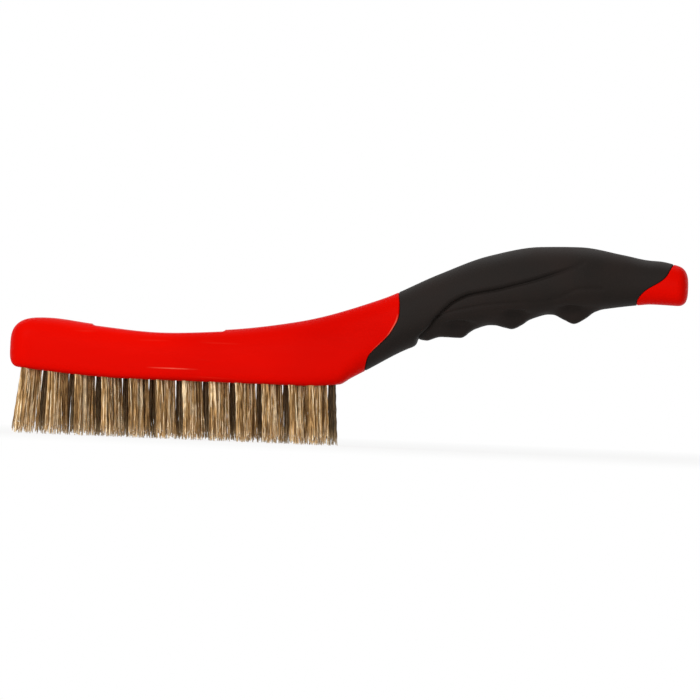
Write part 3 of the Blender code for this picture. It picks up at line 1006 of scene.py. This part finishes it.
# Each wire starts as a straight line of points, and its number picks its seat in the bundle
straight = grow(tuft_tree, "GeometryNodeCurvePrimitiveLine")
counted = grow(
    tuft_tree, "GeometryNodeResampleCurve", None,
    {"Curve": straight.outputs[0], "Count": points_along},
)
copies = grow(
    tuft_tree, "GeometryNodeDuplicateElements", {"domain": "SPLINE"},
    {"Geometry": counted.outputs[0], "Amount": given["Wires"]},
)
wire_number = copies.outputs["Duplicate Index"]
along = grow(tuft_tree, "GeometryNodeSplineParameter").outputs["Factor"]
bundle_radius = reckon(
    "MULTIPLY", reckon("SUBTRACT", given["Bundle Diameter"], given["Wire Diameter"]), 0.5
)
seat = reckon("SQRT", reckon("DIVIDE", reckon("ADD", wire_number, 0.5), given["Wires"]))
seat_turn = reckon("MULTIPLY_ADD", wire_number, golden_turn, chance(1, -seat_jitter, seat_jitter))
seat_turn = reckon("ADD", seat_turn, reckon("MULTIPLY", given["Seed"], turn_by_seed))
# A tuft's last wire is tarnished and reaches the floor, and may hang loose
is_last = reckon("COMPARE", wire_number, reckon("SUBTRACT", given["Wires"], 1.0), 0.5)
stray_turn = chance(2, 0.0, 2 * math.pi)
crimp_turn = chance(3, 0.0, 2 * math.pi)
crimp_start = chance(4, 0.0, 2 * math.pi)
stray_share = reckon("POWER", chance(5), stray_power)
ragged = reckon("POWER", chance(6), ragged_power)
ragged = reckon("MULTIPLY", ragged, reckon("SUBTRACT", 1.0, is_last))
ragged = reckon("MULTIPLY_ADD", ragged, given["Ragged"], trim_floor)
mouth_parts = grow(tuft_tree, "ShaderNodeSeparateXYZ", None, {0: given["Mouth"]}).outputs
loose_parts = grow(tuft_tree, "ShaderNodeSeparateXYZ", None, {0: given["Loose Bend"]}).outputs
lean_sine = reckon("SINE", given["Lean"])
lean_cosine = reckon("COSINE", given["Lean"])


def spread(axis, out_share):
    """Sideways place of a wire along one axis of its tuft, at a share of the way to the trim."""
    trig = ("COSINE", "SINE")[axis]
    seat_part = reckon("MULTIPLY", seat, reckon(trig, seat_turn))
    fan = reckon("MULTIPLY_ADD", given["Splay"], out_share, bundle_radius)
    bent = reckon("MULTIPLY", given["Stray"], reckon("POWER", out_share, bend_power))
    bent = reckon("MULTIPLY", reckon("MULTIPLY", bent, stray_share), reckon(trig, stray_turn))
    loose = reckon("MULTIPLY", reckon("MULTIPLY", is_last, loose_parts[axis]), out_share)
    combed = reckon("MULTIPLY", given["Set"], reckon("SQRT", out_share)) if axis == 0 else 0.0
    return reckon("ADD", reckon("MULTIPLY_ADD", seat_part, fan, bent), reckon("ADD", loose, combed))


# A wire ends on the floor or its own ragged share above it: its length allows for its place in the
# leaning tuft
last_x = spread(0, 1.0)
drop = reckon("SUBTRACT", mouth_parts[2], ragged)
drop = reckon("ADD", drop, reckon("MULTIPLY", last_x, lean_sine))
wire_reach = reckon("DIVIDE", drop, lean_cosine)
outward = reckon(
    "MULTIPLY_ADD", along, reckon("ADD", wire_reach, given["Root Depth"]),
    reckon("MULTIPLY", given["Root Depth"], -1.0),
)
out_share = reckon("DIVIDE", reckon("MAXIMUM", outward, 0.0), wire_reach)
crimp_onset = reckon("MINIMUM", reckon("MULTIPLY", out_share, crimp_onset_rate), 1.0)
crimp_rate = reckon("DIVIDE", chance(8, *crimp_quickness), given["Crimp Length"])
crimp_wave = reckon("MULTIPLY_ADD", outward, crimp_rate, crimp_start)
crimp = reckon("MULTIPLY", reckon("SINE", crimp_wave), given["Crimp Depth"])
crimp = reckon("MULTIPLY", crimp, crimp_onset)
local_x = reckon("MULTIPLY_ADD", crimp, reckon("COSINE", crimp_turn), spread(0, out_share))
local_y = reckon("MULTIPLY_ADD", crimp, reckon("SINE", crimp_turn), spread(1, out_share))
world_x = reckon("MULTIPLY_ADD", local_x, lean_cosine, reckon("MULTIPLY", outward, lean_sine))
world_z = reckon(
    "SUBTRACT", reckon("MULTIPLY", local_x, lean_sine), reckon("MULTIPLY", outward, lean_cosine)
)
offset = grow(tuft_tree, "ShaderNodeCombineXYZ", None, {0: world_x, 1: local_y, 2: world_z})
position = grow(
    tuft_tree, "ShaderNodeVectorMath", {"operation": "ADD"},
    {0: given["Mouth"], 1: offset.outputs[0]},
)
shaped = grow(
    tuft_tree, "GeometryNodeSetPosition", None,
    {"Geometry": copies.outputs["Geometry"], "Position": position.outputs[0]},
)


def stored(geometry, name, value):
    """The geometry with a value written on its points under a name."""
    return grow(
        tuft_tree, "GeometryNodeStoreNamedAttribute", {"data_type": "FLOAT", "domain": "POINT"},
        {"Geometry": geometry, "Name": name, "Value": value},
    ).outputs[0]


# Each wire's tone: random, plus its row's painted light and shade
marked = stored(shaped.outputs[0], "wire_tone_and_painted_light", reckon("ADD", chance(7), given["Painted Light"]))
marked = stored(marked, "wire_out", out_share)
# The greater of the last wire's tarnish and the tuft's painted shade
marked = stored(marked, "wire_tarnish_and_painted_shade", reckon("MAXIMUM", given["Painted Shade"], is_last))
marked = stored(marked, "wire_number", wire_number)
marked = stored(marked, "wire_along", along)
gauge = grow(
    tuft_tree, "GeometryNodeCurvePrimitiveCircle", {"mode": "RADIUS"},
    {"Resolution": sides_round, "Radius": reckon("MULTIPLY", given["Wire Diameter"], 0.5)},
)
rim = stored(gauge.outputs[0], "wire_round", along)
drawn = grow(
    tuft_tree, "GeometryNodeCurveToMesh", None,
    {"Curve": marked, "Profile Curve": rim, "Fill Caps": True},
)
where_now = grow(
    tuft_tree, "ShaderNodeSeparateXYZ", None,
    {0: grow(tuft_tree, "GeometryNodeInputPosition").outputs[0]},
).outputs
above_floor = grow(
    tuft_tree, "ShaderNodeCombineXYZ", None,
    {0: where_now[0], 1: where_now[1], 2: reckon("MAXIMUM", where_now[2], 0.0)},
)
trimmed = grow(
    tuft_tree, "GeometryNodeSetPosition", None,
    {"Geometry": drawn.outputs[0], "Position": above_floor.outputs[0]},
)
coated = grow(
    tuft_tree, "GeometryNodeSetMaterial", None,
    {"Geometry": trimmed.outputs[0], "Material": given["Material"]},
)
result = tuft_tree.nodes.new("NodeGroupOutput")
tuft_tree.links.new(coated.outputs[0], result.inputs[0])

# Coated wire: each wire has its own tone with streaks along it, stains here and there, a bright cut
# end, and painted shade where wires crowd together. Rows are painted lighter or darker as light and
# shade, the far row and the last tuft are painted dark as shade, and the lower part of each wire is
# painted paler as light. Tarnished wires, and those painted dark, stay dark but for their ends.
brass_shaded = (0.180, 0.094, 0.031, 1.0)
brass_dark = (0.185, 0.094, 0.026, 1.0)
brass_warm = (0.585, 0.350, 0.136, 1.0)
brass_pale = (0.990, 0.790, 0.500, 1.0)
cut_steel = (0.80, 0.77, 0.71, 1.0)
deep_tarnish_and_painted_shade = (0.062, 0.038, 0.016, 1.0)
pale_tarnish_and_painted_shade = (0.190, 0.120, 0.052, 1.0)
wire_metal = 0.6
own_tone_share = 0.45
crowding_reach = 0.012
crowding_samples = 6
wire_stains = (420.0, 3.0)
wire_streaks = (1000.0, 1.0, (1.0, 1.0, 0.03))
wire_grain = (5200.0, 1.0)
wire_relief = (0.00002, 0.25)
coated_wire, tree, shader, where = new_surface("coated_wire")
reach = carried(tree, "wire_out")
stains = noise(tree, where, *wire_stains)
streaks = ranged(tree, noise(tree, where, *wire_streaks), 0.40, 0.60, 0.0, 0.55)
# The tone carries each row's painted light and shade
tone_and_painted_light = maths(tree, "MULTIPLY_ADD", carried(tree, "wire_tone_and_painted_light"), own_tone_share, streaks)
colour = blended(tree, ranged(tree, tone_and_painted_light, 0.26, 0.42, 0.0, 1.0), brass_dark, brass_warm)
colour = blended(tree, ranged(tree, tone_and_painted_light, 0.64, 0.70, 0.0, 1.0), colour, brass_pale)
colour = blended(tree, ranged(tree, stains, 0.50, 0.78, 0.0, 0.60), colour, brass_dark)
# Tarnished wires, and wires in painted shade, take these dark colours; the painted shade thins out
# towards the tips
tarnish_and_painted_shade = blended(tree, ranged(tree, tone_and_painted_light, 0.50, 0.95, 0.0, 1.0), deep_tarnish_and_painted_shade, pale_tarnish_and_painted_shade)
tarnish_and_painted_shade = blended(tree, ranged(tree, reach, 0.70, 1.0, 0.0, 0.30), tarnish_and_painted_shade, brass_warm)
colour = blended(tree, carried(tree, "wire_tarnish_and_painted_shade"), colour, tarnish_and_painted_shade)
# Painted light: every wire paler towards its tip
colour = blended(tree, ranged(tree, reach, 0.80, 1.0, 0.0, 0.22), colour, brass_pale)
colour = blended(tree, ranged(tree, reach, 0.97, 0.998, 0.0, 0.6), colour, cut_steel)
openness = grow(
    tree, "ShaderNodeAmbientOcclusion", {"samples": crowding_samples}, {"Distance": crowding_reach}
).outputs["AO"]
openness = maths(tree, "ADD", openness, ranged(tree, reach, 0.45, 1.0, 0.0, 0.30))
colour = blended(tree, ranged(tree, openness, 0.01, 0.09, 0.0, 1.0), brass_shaded, colour)
tree.links.new(colour, shader.inputs["Base Color"])
tree.links.new(ranged(tree, stains, 0.30, 0.70, 0.30, 0.46), shader.inputs["Roughness"])
bumped(tree, shader, noise(tree, where, *wire_grain), *wire_relief)
shader.inputs["Metallic"].default_value = wire_metal

# Share of a wire's strip of the map that is left free on either side of it
strip_margin = 0.08


def unwrap_wires(mesh):
    """Lays each wire out as its own upright strip of the piece's map."""
    def values(name):
        return np.array([item.value for item in mesh.attributes[name].data])

    corner = np.zeros(len(mesh.loops), int)
    mesh.loops.foreach_get("vertex_index", corner)
    round_share = values("wire_round")[corner]
    number, length_share = values("wire_number")[corner], values("wire_along")[corner]
    starts = np.zeros(len(mesh.polygons), int)
    totals = np.zeros(len(mesh.polygons), int)
    mesh.polygons.foreach_get("loop_start", starts)
    mesh.polygons.foreach_get("loop_total", totals)
    for first, total in zip(starts, totals):
        part = round_share[first:first + total]
        # A side face that closes the round of its wire goes past the end, not back to the start
        if total == 4 and part.max() - part.min() > 0.5:
            part[part < 0.5] += 1.0
    across = (number + strip_margin + (1 - 2 * strip_margin) * round_share) / wires_in_tuft
    chart = mesh.uv_layers.new(name="OFBake")
    chart.data.foreach_set("uv", np.stack([across, length_share], -1).ravel())


for number, (tuft_name, mouth, lean) in enumerate(tuft_places):
    row = number % tuft_rows
    curl = float(toe_curl(mouth.x + overall_length / 2))
    # A tuft takes its row's painted shade and painted light
    own = {
        "Mouth": mouth, "Lean": lean, "Splay": row_splays[row], "Set": row_sets[row],
        "Painted Shade": row_painted_shade[row], "Painted Light": row_painted_light[row],
        "Ragged": trim_ragged + toe_ragged * curl, "Seed": number * seed_step,
        "Material": coated_wire,
    }
    if number < toe_tufts:
        own["Splay"] += toe_splay
        own["Set"] += toe_set
    if number == 0:
        own["Loose Bend"] = loose_bend
    if number == len(tuft_places) - 1:
        # The last tuft is painted dark all over, as shade
        own["Painted Shade"] = heel_painted_shade
    holder = bpy.data.objects.new("holder", bpy.data.meshes.new("holder"))
    scene.collection.objects.link(holder)
    bundling = holder.modifiers.new("wire_tuft", "NODES")
    bundling.node_group = tuft_tree
    for input_name, _, value in tuft_inputs:
        bundling[sockets_of[input_name]] = own.get(input_name, value)
    graph = bpy.context.evaluated_depsgraph_get()
    wires = bpy.data.meshes.new_from_object(holder.evaluated_get(graph))
    bpy.data.objects.remove(holder)
    unwrap_wires(wires)
    wires.shade_smooth()
    tuft = bpy.data.objects.new(f"wires_{tuft_name}", wires)
    wires.name = tuft.name
    scene.collection.objects.link(tuft)
    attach(tuft, "root")
    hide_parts(f"tuft_{tuft_name}")
